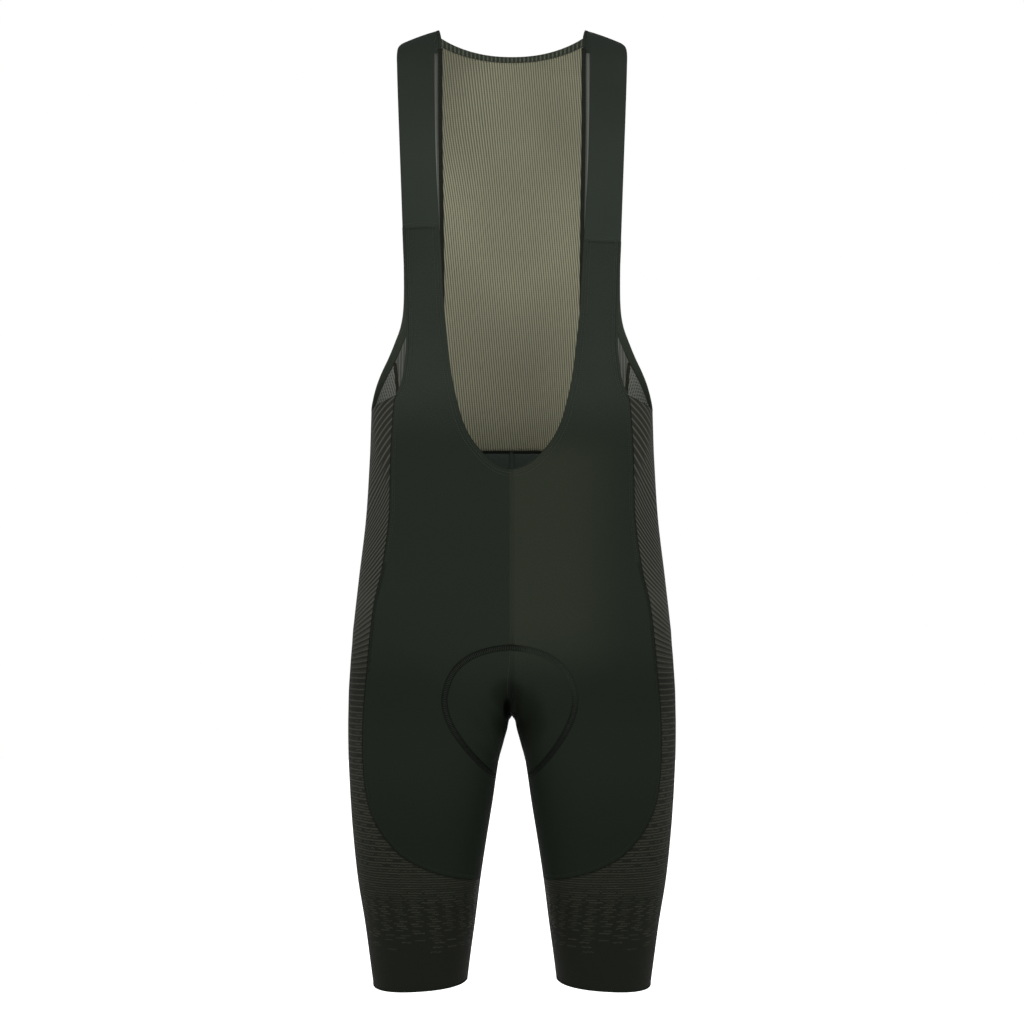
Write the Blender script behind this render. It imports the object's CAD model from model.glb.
# The dressed cycling bib shorts: fine cloth shells cut from the same body form as the solids, with
# their seams, stitching, ribs and knit. Lengths are in millimetres until a mesh is made.

import math

import bpy
import numpy as np
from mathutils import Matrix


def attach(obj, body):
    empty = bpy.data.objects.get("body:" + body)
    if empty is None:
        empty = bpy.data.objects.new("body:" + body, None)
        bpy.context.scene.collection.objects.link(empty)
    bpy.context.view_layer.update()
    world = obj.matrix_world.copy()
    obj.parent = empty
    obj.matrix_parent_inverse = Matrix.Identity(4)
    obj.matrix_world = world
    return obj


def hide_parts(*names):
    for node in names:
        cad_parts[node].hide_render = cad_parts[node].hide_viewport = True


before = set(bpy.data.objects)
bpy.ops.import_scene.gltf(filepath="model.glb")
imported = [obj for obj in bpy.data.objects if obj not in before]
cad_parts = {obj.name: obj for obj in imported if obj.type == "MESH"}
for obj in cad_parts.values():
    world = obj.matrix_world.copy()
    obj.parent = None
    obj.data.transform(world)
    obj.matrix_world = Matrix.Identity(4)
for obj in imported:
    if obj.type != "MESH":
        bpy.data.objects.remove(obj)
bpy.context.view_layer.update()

MM = 0.001
FRONT, BACK = -1, 1
CLOTH = 1.1
SEAM_GAP = 0.3

# The body form


def rows_of(names, *rows):
    return dict(zip(names.split(), np.array(rows, float).T))


TORSO = rows_of(
    "z half front back",
    (30, 156, 92, 86), (-60, 162, 97, 93), (-140, 165, 101, 98), (-200, 163, 103, 100),
    (-265, 158, 103, 96), (-330, 154, 100, 89), (-395, 153, 97, 84), (-430, 153.8, 96, 82),
    (-460, 154.9, 96, 82), (-525, 159.1, 97, 87), (-590, 166.8, 100, 98),
    (-656, 173.9, 102, 112), (-722, 177.7, 101, 120), (-800, 178, 100, 120),
)
LEG = rows_of(
    "z outer inner front back",
    (-560, 150, -60, 70, 60), (-640, 171, -34, 90, 96), (-700, 177, -12, 95, 112),
    (-739, 178.2, 3, 95, 111), (-752, 178.3, 5, 94, 108), (-767, 178.2, 9.8, 93, 104),
    (-790, 177.6, 15.2, 91, 98), (-831, 175.5, 21.3, 87, 91), (-874, 172.2, 28.3, 82, 85),
    (-918, 167.3, 34.9, 77, 80), (-961, 160.2, 40.3, 72, 75), (-1005, 154.2, 46.3, 67, 70),
    (-1045, 148.9, 51, 63, 66),
)
AXIS = rows_of("z x", (30, 80), (-620, 80), (-740, 89), (-831, 98), (-1045, 100))
STRAP_EDGES = rows_of(
    "z inner outer",
    (10, 80.2, 115), (1.3, 80.7, 118), (-1.5, 81.5, 121.8), (-5, 82.2, 123.8),
    (-14, 83.3, 124.6), (-30, 83.9, 124), (-80, 82.8, 121.9), (-112, 82, 120.6),
    (-144, 80.9, 119.4), (-176, 79.4, 118.2), (-207, 77.6, 117.1), (-240, 75.7, 116),
)
NECKLINE = [
    (74.4, -262), (72.8, -292), (71, -313), (68.6, -334), (66.2, -356), (63.1, -377),
    (58.4, -398), (52.5, -419), (44.5, -436), (35, -449), (24, -460.5), (12, -468.5),
    (0, -471.3),
]
FRONT_ARMHOLE = [
    (115, -262), (113.4, -305), (113, -338), (115.4, -362), (118.4, -378), (124.4, -391.5),
]
FRONT_SEAM = [
    (124.4, -391.5), (126.8, -405), (130, -450), (130.7, -485), (132, -525), (139.4, -578),
    (148.8, -620), (156.2, -695), (159.6, -740), (159.8, -783), (154.7, -826), (141.2, -857),
    (119.5, -882), (92.7, -897.5), (66, -906.5), (34.3, -914),
]
BACK_SEAM = [
    (122, -450), (124, -480), (129, -525), (137, -570), (145.5, -615), (153, -665),
    (157.5, -715), (159, -765), (157, -803), (150, -836), (137, -862), (118, -883),
    (92, -898), (66, -907), (34.3, -914),
]
BACK_ARMHOLE = [
    (121, -75), (121.5, -160), (121, -223), (120.4, -257), (120.8, -291), (123.2, -309),
    (128.6, -326), (134.9, -343), (142.3, -360), (148.4, -377), (152, -393),
]
BAND_SHARES = [0, 0.05, 0.12, 0.25, 0.42, 0.58, 0.68, 0.74, 0.79, 0.84, 0.88, 0.92, 0.96, 1]
UNDERARM_ROW = 9
BACK_RIB_SEAM = rows_of(
    "z x", (0, 79.2), (-90, 80.2), (-200, 78.9), (-310, 78.2), (-450, 80))
PAD_FRONT = [
    (0, -661), (21, -664), (42, -672), (59, -688), (67.3, -710), (67.3, -726), (61, -745),
    (49, -763), (33, -781), (17, -797),
]
PAD_BACK = [
    (0, -622), (42, -626), (66, -640), (82, -668), (86, -705), (78, -742), (58, -768),
    (38, -785), (17, -797),
]
LEFT_STRAP_JOINT_Z, RIGHT_STRAP_JOINT_Z = -229, -214
BACK_WAIST_Z = -450
BACK_NECK_CENTRE_Z, BACK_NECK_CORNER_Z = -13.8, 3.5
NECK_BAND_DROP, NECK_BAND_CORNER_DROP, NECK_DIP_POWER = 5.5, 7.5, 2.2
SIDE_TOP_Z, INSEAM_END_Z = -406, -914
HEM_OUTER_Z, HEM_INNER_Z, HEM_TILT = -1030.5, -1024, 0.05
CUFF_DIP, CUFF_DIP_POWER = 10, 3
STRAP_BACK_END_TURN, STRAP_BACK_INNER_X, STRAP_BACK_OUTER_X = 118, 79.5, 119
STRAP_INNER_TURN_SHARE = 0.45
RIB_PITCH, SIDE_RIB_PITCH, NECK_RIB_PITCH = 2.63, 3.2, 4.5
ARMHOLE_BAND_WIDTH = 10

POWER = 2.3
ARCH_BASE_Z = -140
CREST_TOP_Z, CREST_FALL, CREST_POWER, CREST_LEVEL_X = 10.8, 0.0376, 1.5, 60
BOWL_TOP_Z, BOWL_DEPTH = -640, 82
LEG_TOP_Z, LEG_BLEND, TORSO_BLEND, TORSO_BLEND_REACH = -560, 5, 30, 90
# A length past the form from any place in it, and the depths that a search for the crotch spans
OUTSIDE = 260.0
CROTCH_SPAN = 690.0, 800.0
CURVE_POINTS, RISE_POINTS, SLOPE_STEP = 3001, 61, 0.5
WELDS_PER_MM, SMALLEST_PULL = 50, 0.3


def lerp(a, b, t):
    return a + (b - a) * t


def even(steps):
    return np.linspace(0, 1, steps + 1)


def unit(vectors):
    return vectors / np.linalg.norm(vectors, axis=-1, keepdims=True)


def run_of(line):
    """Lengths along a line of points, from its start."""
    return np.concatenate([[0], np.cumsum(np.linalg.norm(np.diff(line, axis=0), axis=1))])


def sample(at, run, values):
    """Each column of values, at places along their run."""
    return np.stack([np.interp(at, run, column) for column in values.T], -1)


def curve(p, at):
    """A smooth curve through points, at places counted in points."""
    last = len(p) - 1
    k = np.minimum(at.astype(int), last - 1)
    w = (at - k)[:, None]
    a, b, c, d = (p[np.clip(k + s, 0, last)] for s in (-1, 0, 1, 2))
    v0, v1 = (c - a) / 2, (d - b) / 2
    return (2 * b - 2 * c + v0 + v1) * w**3 + (-3 * b + 3 * c - 2 * v0 - v1) * w**2 + v0 * w + b


def ease(share):
    t = np.clip(share, 0, 1)
    return t * t * (3 - 2 * t)


def smooth_column(rows, column, z):
    """A smooth value of one column between a table's rows, which run from high z to low z."""
    z = np.asarray(z, float)
    rz, rv = rows["z"], rows[column]
    n = len(rz)
    i = sum((z < rz[k]).astype(int) for k in range(1, n - 1)) + np.zeros(z.shape, int)
    before, after = np.maximum(np.arange(n) - 1, 0), np.minimum(np.arange(n) + 1, n - 1)
    slope = (rv[after] - rv[before]) / (rz[after] - rz[before])
    span = rz[i + 1] - rz[i]
    t = np.clip((z - rz[i]) / span, 0, 1)
    ease_in, ease_out = t * (1 - t) ** 2, t * t * (1 - t)
    return (lerp(rv[i], rv[i + 1], t * t * (3 - 2 * t))
            + span * (ease_in * slope[i] - ease_out * slope[i + 1]))


def crossing(value, low, high, halvings=32):
    low, high = np.array(low, float), np.array(high, float)
    for _ in range(halvings):
        middle = (low + high) / 2
        under = value(middle) < 0
        low, high = np.where(under, middle, low), np.where(under, high, middle)
    return (low + high) / 2


def crest_z(x):
    return CREST_TOP_Z - CREST_FALL * np.maximum(0, np.abs(x) - CREST_LEVEL_X) ** CREST_POWER


def section_depth(across):
    return np.maximum(1e-9, 1 - np.abs(across) ** POWER) ** (1 / POWER)


class Section:
    """The form's measures at each of some heights."""

    def __init__(self, z):
        self.z = np.asarray(z, float)
        self.torso = [smooth_column(TORSO, c, self.z) for c in ("half", "front", "back")]
        self.leg = [smooth_column(LEG, c, self.z) for c in ("outer", "inner", "front", "back")]

    def torso_field(self, x, y):
        half, front, back = self.torso
        depth = np.where(y < 0, front, back)
        climb = (self.z - ARCH_BASE_Z) / (crest_z(x) - ARCH_BASE_Z)
        arch = np.hypot(y / (depth * section_depth(x / half)), np.maximum(climb, 0))
        below = np.maximum(0, BOWL_TOP_Z - self.z) / BOWL_DEPTH
        ring = (np.abs(x / half) ** POWER + np.abs(y / depth) ** POWER
                + below ** POWER) ** (1 / POWER)
        return (np.where(self.z > ARCH_BASE_Z, arch, ring) - 1) * BOWL_DEPTH

    def leg_field(self, x, y):
        outer, inner, front, back = self.leg
        half = (outer - inner) / 2
        depth = np.where(y < 0, front, back)
        size = (np.abs((x - outer + half) / half) ** POWER
                + np.abs(y / depth) ** POWER) ** (1 / POWER)
        return (size - 1) * half

    def field(self, x, y):
        torso = self.torso_field(x, y)
        legs = smooth_minimum(self.leg_field(x, y), self.leg_field(-x, y), LEG_BLEND)
        whole = smooth_minimum(torso, legs, TORSO_BLEND / (1 + (x / TORSO_BLEND_REACH) ** 4))
        return np.where(self.z > LEG_TOP_Z, torso, whole)


def smooth_minimum(a, b, reach):
    overlap = np.maximum(0, reach - np.abs(a - b))
    return np.minimum(a, b) - overlap * overlap / (4 * reach)


def normals_at(points):
    x, y, z = np.moveaxis(points, -1, 0)
    h = SLOPE_STEP
    here, over, under = Section(z), Section(z + h), Section(z - h)
    return unit(np.stack([
        here.field(x + h, y) - here.field(x - h, y),
        here.field(x, y + h) - here.field(x, y - h),
        over.field(x, y) - under.field(x, y)], -1))


def at_angle(angle, z):
    """Points at a section angle: 0 the outer side, -90 the front, 90 the back, 180 the inner."""
    angle, z = np.broadcast_arrays(np.asarray(angle, float), np.asarray(z, float))
    axis = smooth_column(AXIS, "x", z)
    cos, sin = np.cos(np.radians(angle)), np.sin(np.radians(angle))
    limit = np.where(cos < -1e-6, np.minimum(OUTSIDE, -axis / np.minimum(cos, -1e-6)), OUTSIDE)
    section = Section(z)
    reach = crossing(lambda r: section.field(axis + r * cos, r * sin), np.ones(z.shape), limit)
    return np.stack([axis + reach * cos, reach * sin, z], -1)


def on_grid(grid):
    """Points at a grid of angles and heights."""
    return at_angle(grid[..., 0], grid[..., 1])


def at_x(x, z, side):
    x, z = np.broadcast_arrays(np.asarray(x, float), np.asarray(z, float))
    section = Section(z)
    reach = crossing(lambda y: section.field(x, side * y),
                     np.full(z.shape, 0.01), np.full(z.shape, OUTSIDE))
    return np.stack([x, side * reach, z], -1)


CROTCH_Z = -float(crossing(lambda d: Section(-d).field(np.zeros(1), np.zeros(1)),
                           *([depth] for depth in CROTCH_SPAN))[0])


def angle_at(x, z, side):
    x, z = np.broadcast_arrays(np.asarray(x, float), np.asarray(z, float))
    found = crossing(lambda a: x - at_angle(side * a, z)[..., 0],
                     np.zeros(z.shape), np.full(z.shape, 180.0), 26)
    inner = (z <= CROTCH_Z) & (x < at_angle(np.full(z.shape, 180.0 * side), z)[..., 0])
    return side * np.where(inner, 180.0, found)


def along(points, shares):
    """x and z at shares of the length of a smooth curve through the points."""
    p = np.array(points, float)
    line = curve(p, np.linspace(0, len(p) - 1, CURVE_POINTS))
    run = run_of(line)
    return sample(np.asarray(shares, float) * run[-1], run, line)


def edge_of(points, steps, side):
    """Angles and heights along a table of x and z."""
    xz = along(points, even(steps))
    return np.stack([angle_at(xz[:, 0], xz[:, 1], side), xz[:, 1]], -1)


def rise_edge(from_z, side, steps):
    """The middle seam, from a height down to the crotch."""
    z = np.linspace(from_z, BOWL_TOP_Z, RISE_POINTS)
    y = at_x(np.zeros(RISE_POINTS), z, side)[:, 1]
    low_y = np.linspace(y[-1], 0, RISE_POINTS)[1:]
    drop = crossing(lambda d: Section(-d).field(np.zeros(low_y.shape), low_y),
                    np.full(low_y.shape, -BOWL_TOP_Z - 20.0),
                    np.full(low_y.shape, CROTCH_SPAN[1]))
    line = np.stack([np.concatenate([y, low_y]), np.concatenate([z, -drop])], -1)
    run = run_of(line)
    y, z = sample(even(steps) * run[-1], run, line).T
    angle = side * np.abs(np.degrees(np.arctan2(y, -smooth_column(AXIS, "x", z))))
    return np.stack([angle, z], -1)


def inseam_edge(side, end_z, steps):
    z = lerp(CROTCH_Z, end_z, even(steps)[1:])
    return np.stack([np.full(steps, 180.0 * side), z], -1)


# Soft troughs and ridges of the worn cloth: place, tilt, length, width, height and face

FOLDS = [
    (0, -716, 90, 22, 6, -3, FRONT), (0, -715, 90, 30, 22, -1.5, FRONT),
    (20, -748, 62, 34, 5, 0.9, FRONT), (34, -762, 50, 40, 6, -0.7, FRONT),
    (48, -742, 40, 46, 7, 0.6, FRONT), (30, -700, 70, 50, 9, 0.5, FRONT),
    (110, -840, 12, 50, 8, 0.6, FRONT), (96, -470, 78, 60, 10, 0.5, FRONT),
    (26, -770, -58, 40, 6, 0.9, BACK), (46, -790, -40, 46, 7, -0.7, BACK),
    (60, -800, -30, 50, 7, 0.8, BACK), (110, -840, -10, 55, 9, 0.7, BACK),
    (60, -560, 10, 60, 16, 0.6, BACK),
]
FOLD_TURN = 12  # how soon in depth a fold of one face dies out on the other


def soft_folds(points):
    """How far the cloth stands off the form at each point."""
    x, y, z = np.moveaxis(points, -1, 0)
    lift = np.zeros(x.shape)
    for x0, z0, tilt, length, width, height, side in FOLDS:
        c, s = math.cos(math.radians(tilt)), math.sin(math.radians(tilt))
        for flip in (1, -1) if x0 else (1,):
            du, dv = (x * flip - x0) * c + (z - z0) * s, -(x * flip - x0) * s + (z - z0) * c
            near = np.exp(-(du / length) ** 2 - (dv / width) ** 2)
            lift = lift + height * near * (1 / (1 + np.exp(-side * y / FOLD_TURN)))
    return lift


def laid(points):
    """Points of the form with the folds on them, and their normals."""
    normal = normals_at(points)
    return points + normal * soft_folds(points)[..., None], normal


# Arc lengths round the form, for patterns that follow the cloth

ARC_Z = np.linspace(-380, -1045, 134)
ARC_ANGLE = np.linspace(-180, 180, 241)
ARC = np.stack([run_of(ring) for ring in at_angle(*np.meshgrid(ARC_ANGLE, ARC_Z))])


def arc_at(angle, z):
    """Length round the form from the inner side, by way of the front."""
    row = np.clip((ARC_Z[0] - z) / (ARC_Z[0] - ARC_Z[-1]), 0, 1) * (len(ARC_Z) - 1)
    col = np.clip((angle + 180) / 360, 0, 1) * (len(ARC_ANGLE) - 1)
    i = np.minimum(row.astype(int), len(ARC_Z) - 2)
    j = np.minimum(col.astype(int), len(ARC_ANGLE) - 2)
    s, t = row - i, col - j
    return lerp(lerp(ARC[i, j], ARC[i, j + 1], t), lerp(ARC[i + 1, j], ARC[i + 1, j + 1], t), s)


# Meshes


def as_mesh(base, label, points, faces):
    """A mesh of a piece of one side of the body or, without a label, of both. The right side's
    pieces mirror the left's."""
    points = np.asarray(points) * MM
    if label == "Right":
        points, faces = points * (-1, 1, 1), [f[::-1] for f in faces]
    name = f"{base}_{label}" if label else base
    mesh = bpy.data.meshes.new(name)
    mesh.from_pydata(points.tolist(), [], faces)
    mesh.polygons.foreach_set("use_smooth", [True] * len(mesh.polygons))
    mesh.update()
    piece = bpy.data.objects.new(name, mesh)
    bpy.context.scene.collection.objects.link(piece)
    return piece


def give(piece, name, values):
    """A number at each point, for the piece's material."""
    layer = piece.data.attributes.new(name, "FLOAT", "POINT")
    layer.data.foreach_set("value", values.astype(np.float32))


def clean_faces(quads):
    """Drops the repeated corners of quads that close to a triangle."""
    faces = []
    for q in quads.tolist():
        f = [v for k, v in enumerate(q) if v != q[k - 1]]
        if len(set(f)) == len(f) >= 3:
            faces.append(f)
    return faces


def shell(base, label, grids, inset=SEAM_GAP / 2):
    """A closed thin shell from grids of points, normals and attributes, welded where they meet."""
    flat = {k: np.concatenate([g[k].reshape(-1, *g[k].shape[2:]) for g in grids])
            for k in grids[0]}
    _, first, back = np.unique(np.round(flat["p"] * WELDS_PER_MM).astype(np.int64), axis=0,
                               return_index=True, return_inverse=True)
    back = back.reshape(-1)
    data = {k: v[first] for k, v in flat.items()}
    p, n = data.pop("p"), data.pop("n")
    quads, start = [], 0
    for g in grids:
        rows, columns = g["p"].shape[:2]
        ids = back[start:start + rows * columns].reshape(rows, columns)
        start += rows * columns
        q = np.stack([ids[:-1, :-1], ids[1:, :-1], ids[1:, 1:], ids[:-1, 1:]], -1).reshape(-1, 4)
        face_n = np.cross(p[q[:, 2]] - p[q[:, 0]], p[q[:, 3]] - p[q[:, 1]])
        quads.append(q[:, ::-1] if (face_n * n[q[:, 0]]).sum() < 0 else q)
    faces = clean_faces(np.concatenate(quads))
    edges = {(f[k - 1], v) for f in faces for k, v in enumerate(f)}
    rim = [(a, b) for a, b in edges if (b, a) not in edges]
    pull = np.zeros(p.shape)
    for a, b in rim:
        way = np.cross(n[a], p[b] - p[a])
        way /= max(np.linalg.norm(way), 1e-9)
        pull[a] += way
        pull[b] += way
    size = np.linalg.norm(pull, axis=1, keepdims=True)
    p = p + np.where(size > SMALLEST_PULL, pull / np.maximum(size, SMALLEST_PULL), 0) * inset
    out = data.pop("out", np.zeros(len(p)))[:, None]
    inward = data.pop("inward", np.full(len(p), CLOTH))[:, None]
    under = len(p)
    faces = faces + [[v + under for v in f[::-1]] for f in faces]
    faces += [[b, a, a + under, b + under] for a, b in sorted(rim)]
    piece = as_mesh(base, label, np.concatenate([p + n * out, p - n * inward]), faces)
    for key, values in data.items():
        give(piece, key, np.concatenate([values, values]))
    give(piece, "inside", np.repeat([0.0, 1.0], under))
    return piece


def patch(angle, z, **extra):
    """A grid on the form at angles and heights, with the cloth's own coordinates."""
    form = at_angle(angle, z)
    p, n = laid(form)
    return {"p": p, "n": n, "wale": arc_at(angle, z), "course": form[..., 2], **extra}


def own_grid(form, **extra):
    """A grid laid on the form, with lengths across and along it as the cloth's coordinates."""
    p, n = laid(form)
    across = np.cumsum(np.linalg.norm(np.diff(p, axis=1, prepend=p[:, :1]), axis=2), axis=1)
    along_it = np.cumsum(np.linalg.norm(np.diff(p, axis=0, prepend=p[:1]), axis=2), axis=0)
    grid = {"p": p, "n": n, "wale": across, "course": along_it}
    grid.update({k: np.broadcast_to(v, across.shape).copy() for k, v in extra.items()})
    return grid


def ribbon(base, label, path, normal, profile):
    """A band along a path on the form. The profile's points are (sideways, height)."""
    side = unit(np.cross(normal, unit(np.gradient(path, axis=0))))
    profile = np.array(profile, float)
    rings = (path[:, None] + side[:, None] * profile[None, :, :1]
             + normal[:, None] * profile[None, :, 1:])
    n, m = rings.shape[:2]
    ids = np.arange(n * m).reshape(n, m)
    after = np.roll(ids, -1, axis=1)
    faces = np.stack([after[:-1], after[1:], ids[1:], ids[:-1]], -1).reshape(-1, 4).tolist()
    faces += [ids[0].tolist(), ids[-1][::-1].tolist()]
    piece = as_mesh(base, label, rings.reshape(-1, 3), faces)
    give(piece, "wale", np.tile(profile[:, 0], n))
    give(piece, "course", np.repeat(run_of(path), m))
    return piece


def flat_band(left, right, height, sunk=0.25):
    """A low band's profile between two sideways places, with softened edges."""
    soft = min(0.5, (right - left) * 0.2)
    return [(left, -sunk), (left, height * 0.5), (left + soft, height), (right - soft, height),
            (right, height * 0.5), (right, -sunk)]


def stitch_rows(base, label, rows):
    """Raised threads along paths. A row is (path, normal, sideways, height, pitch, length,
    radius, turn), where turn is the angle in degrees at which each thread crosses the path."""
    points, faces = [], []
    around = [(math.cos(a * math.pi), math.sin(a * math.pi)) for a in (0.25, 0.75, 1.25, 1.75)]
    for path, normal, sideways, height, pitch, length, radius, turn in rows:
        run = unit(np.gradient(path, axis=0))
        side = np.cross(normal, run)
        line = path + side * sideways
        steps = run_of(line)
        count = int(steps[-1] / pitch)
        at = (np.arange(count) + 0.5) * steps[-1] / max(count, 1)
        centre, ahead, across, up = (sample(at, steps, v) for v in (line, run, side, normal))
        for k in range(count):
            angle = math.radians(turn if k % 2 else -turn)
            way = ahead[k] * math.cos(angle) + across[k] * math.sin(angle)
            over = np.cross(up[k], way)
            middle = centre[k] + up[k] * height
            tip, sunk = way * length / 2, up[k] * radius * 0.4
            first = len(points)
            points.append(middle - tip - sunk)
            for share, size in ((-0.32, 0.85), (0.0, 1.0), (0.32, 0.85)):
                for c, s in around:
                    points.append(middle + way * length * share
                                  + over * radius * size * c + up[k] * radius * size * s)
            points.append(middle + tip - sunk)
            for j in range(4):
                a, b = first + 1 + j, first + 1 + (j + 1) % 4
                faces.append([first, b, a])
                faces += [[a + ring, b + ring, b + ring + 4, a + ring + 4] for ring in (0, 4)]
                faces.append([first + 13, a + 8, b + 8])
    return as_mesh(base, label, points, faces)


# The cut of the panels, as grids of angles and heights

SIDES = (("Left", 1, LEFT_STRAP_JOINT_Z), ("Right", -1, RIGHT_STRAP_JOINT_Z))
COLUMNS, SEAM_ROWS, BEND_ROWS, BEND_POWER = 54, 150, 56, 1.5
RISE_ROWS, INSEAM_ROWS = {FRONT: 84, BACK: 102}, 42
HALF_COLUMNS, CUFF_ROWS = 40, 56
SIDE_BACK_SHARES = np.array([0, 0.13, 0.35, 0.57, 0.79, 1])


def seam_samples(points, side):
    whole = edge_of(points, SEAM_ROWS + COLUMNS, side)
    whole[-1, 0] = 180 * side
    return whole


front_seam, back_seam = seam_samples(FRONT_SEAM, FRONT), seam_samples(BACK_SEAM, BACK)


def along_edge(parts, count):
    """An edge's parts joined, resampled to a number of points by share of each part."""
    line = np.concatenate([parts[0]] + [p[1:] for p in parts[1:]])
    return sample(np.linspace(0, len(line) - 1, count), np.arange(len(line)), line)


def main_panel(left, seam, right_top):
    """Angles and heights of a panel between the body's middle and a side seam."""
    right = np.concatenate([right_top, seam[:SEAM_ROWS + 1]])
    left = along_edge(left, len(right))
    bottom = seam[SEAM_ROWS:][::-1]
    rows = lerp(left[:, None], right[:, None], even(COLUMNS)[None, :, None])
    last = len(right) - 1
    share = np.maximum(0, 1 - (last - np.arange(last + 1)) / BEND_ROWS) ** BEND_POWER
    return rows + share[:, None, None] * (bottom - rows[-1])[None]


def middle_edges(from_z, side):
    """The rise from a height to the crotch, and the inner leg from there down."""
    rise = rise_edge(from_z, side, RISE_ROWS[side])
    return rise, np.concatenate([rise[-1:], inseam_edge(side, INSEAM_END_Z, INSEAM_ROWS)])


def front_panel(joint_z):
    neck_top, arm_top = ((float(smooth_column(STRAP_EDGES, c, joint_z)), joint_z)
                         for c in ("inner", "outer"))
    neck = edge_of([neck_top] + NECKLINE, 72, FRONT)
    armhole = edge_of([arm_top] + FRONT_ARMHOLE, 54, FRONT)
    rise, inseam = middle_edges(NECKLINE[-1][1], FRONT)
    neck[-1] = rise[0]
    return main_panel([neck, rise, inseam], front_seam, armhole[:-1]), neck, armhole, rise, inseam


def side_angle(front, back):
    """Angles of the side panel's columns between the front and the back seam."""
    ahead = lerp(front[:, None], 0, even(HALF_COLUMNS)[None])
    behind = np.interp(even(HALF_COLUMNS)[1:] * 5, np.arange(6), SIDE_BACK_SHARES)
    return np.concatenate([ahead, back[:, None] * behind[None]], axis=1)


def side_top(angle):
    """Height of the side panel's top edge at an angle."""
    front, back = front_seam[0], back_seam[0]
    ahead = lerp(front[1], SIDE_TOP_Z, np.sin(np.clip(1 - angle / front[0], 0, 1) * np.pi / 2))
    behind = lerp(back[1], SIDE_TOP_Z, np.cos(np.clip(angle / back[0], 0, 1) * np.pi / 2))
    return np.where(angle <= 0, ahead, behind)


def hem_z(angle):
    """The hem rises towards the inner leg and dips in front."""
    p = at_angle(angle, np.full(np.shape(angle), HEM_OUTER_Z))
    outer, inner = (float(smooth_column(LEG, c, HEM_OUTER_Z)) for c in ("outer", "inner"))
    return (lerp(HEM_OUTER_Z, HEM_INNER_Z, (outer - p[..., 0]) / (outer - inner))
            + HEM_TILT * p[..., 1])


def side_grids():
    """The side panel between its seams, and the cuff all round the leg."""
    front, back = front_seam[:SEAM_ROWS + 1], back_seam[:SEAM_ROWS + 1]
    angle = side_angle(front[:, 0], back[:, 0])
    t = (side_angle(np.array([-1.0]), np.array([1.0]))[0] + 1) / 2
    fade = 1 - np.arange(SEAM_ROWS + 1)[:, None] / SEAM_ROWS
    sag = side_top(angle[0]) - lerp(front[0, 1], back[0, 1], t)
    dip = -4 * CUFF_DIP * t * (1 - t) * (1 - fade) ** CUFF_DIP_POWER
    z = lerp(front[:, 1:], back[:, 1:], t[None]) + sag[None] * fade + dip
    top = np.concatenate([front_seam[SEAM_ROWS:][::-1],
                          np.stack([angle[-1, 1:-1], z[-1, 1:-1]], -1), back_seam[SEAM_ROWS:]])
    ring_z = lerp(top[None, :, 1], hem_z(top[:, 0])[None], even(CUFF_ROWS)[:, None])
    return (angle, z), (np.broadcast_to(top[:, 0], ring_z.shape), ring_z)


# The side panel's knitted lines: their slope away from the front seam and their spacing, by
# the height at which they leave that seam

STRIPE_SLOPE = rows_of(
    "z slope", (-391, 0.7), (-420, 0.9), (-450, 1.1), (-475, 1.35), (-504, 1.3), (-525, 1.2),
    (-551, 1.08), (-583, 0.97), (-603, 0.85), (-622, 0.65), (-641, 0.45), (-655, 0.32),
    (-672, 0.18), (-690, 0.07), (-710, 0.03), (-760, 0.03), (-800, 0), (-840, -0.04),
    (-900, -0.05), (-960, 0), (-1045, 0))
STRIPE_SPACING = rows_of(
    "z gap", (-300, 3.8), (-400, 3.8), (-440, 5), (-470, 6), (-500, 6.3), (-560, 6.8),
    (-600, 6.8), (-640, 6.6), (-700, 6.2), (-870, 6.1), (-915, 5.2), (-1045, 5.2))
SLOPE_REACH, SLOPE_FADE, SEAM_TURN = 45, 20, 1.5
LOWEST_OUTER_SEAM_Z = -826
count_z = np.linspace(-250, -1060, 1621)
COUNT = np.concatenate([[0], np.cumsum(0.5 / smooth_column(STRIPE_SPACING, "gap", count_z)[1:])])


def stripe_count(angle, z):
    """How many knitted lines lie above a point, and its way from the seam."""
    seam_angle = np.interp(np.maximum(z, LOWEST_OUTER_SEAM_Z), front_seam[::-1, 1],
                           front_seam[::-1, 0])
    away = arc_at(angle, z) - arc_at(seam_angle, z)
    far = SLOPE_REACH + SLOPE_FADE * (1 - np.exp(-np.maximum(0, away - SLOPE_REACH) / SLOPE_FADE))
    reach = np.where(away < SLOPE_REACH, np.maximum(away, 0), far)
    seen = at_angle(np.minimum(angle, 0), z)[..., 0] - at_angle(seam_angle, z)[..., 0]
    reach = lerp(reach, SEAM_TURN * np.maximum(seen, 0), ease((-z - 440) / 60))
    start = -crossing(
        lambda d: z + d + smooth_column(STRIPE_SLOPE, "slope", -d) * reach,
        np.full(z.shape, 250.0), np.full(z.shape, 1060.0))
    return np.interp(-start, -count_z, COUNT), away


# Materials

TURN = 2 * math.pi


class Value:
    """A shader node's output. A sum with it makes a Math node."""

    def __init__(self, nodes, socket):
        self.nodes, self.socket = nodes, socket

    def smooth(self, low, high, out_low=0.0, out_high=1.0):
        return self.nodes.make("MapRange", (self, low, high, out_low, out_high),
                               interpolation_type="SMOOTHSTEP")


for operator, operation in (("add", "ADD"), ("sub", "SUBTRACT"), ("mul", "MULTIPLY"),
                            ("truediv", "DIVIDE"), ("pow", "POWER"), ("mod", "MODULO")):
    setattr(Value, f"__{operator}__",
            lambda self, other, operation=operation: self.nodes.math(operation, self, other))


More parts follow.
